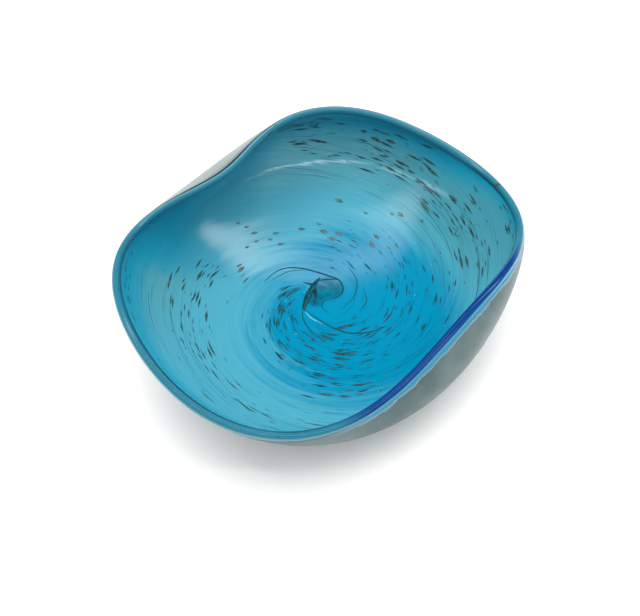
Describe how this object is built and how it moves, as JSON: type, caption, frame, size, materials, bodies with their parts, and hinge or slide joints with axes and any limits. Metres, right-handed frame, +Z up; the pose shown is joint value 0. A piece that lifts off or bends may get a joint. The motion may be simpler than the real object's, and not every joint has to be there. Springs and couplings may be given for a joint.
{
  "type": "art glass bowl",
  "caption": "Blown glass bowl with opposite sides folded in, turquoise inside over a pale opal casing, with dark swirled streaks and a rounded lip.",
  "frame": {"origin": "centre of the ground foot, on the surface that the bowl stands on", "axes": "+Z up out of the bowl, +X along its length towards one lobe, +Y across it towards the lower of the two folds"},
  "size_m": [0.2315, 0.1963, 0.0681],
  "materials": {
    "opal_glass": "satin",
    "turquoise_glass": "polished",
    "clear_glass": "polished",
    "lip_glass": "fire polished",
    "aventurine": "polished",
    "trail_glass": "polished"
  },
  "bodies": {
    "root": {"pontil_pad": "opal_glass", "opal_casing": "opal_glass", "turquoise_layer": "turquoise_glass", "clear_lining": "clear_glass", "lip": "lip_glass", "wall_streaks": "aventurine", "floor_streaks": "aventurine", "centre_trail": "trail_glass"}
  },
  "joints": []
}
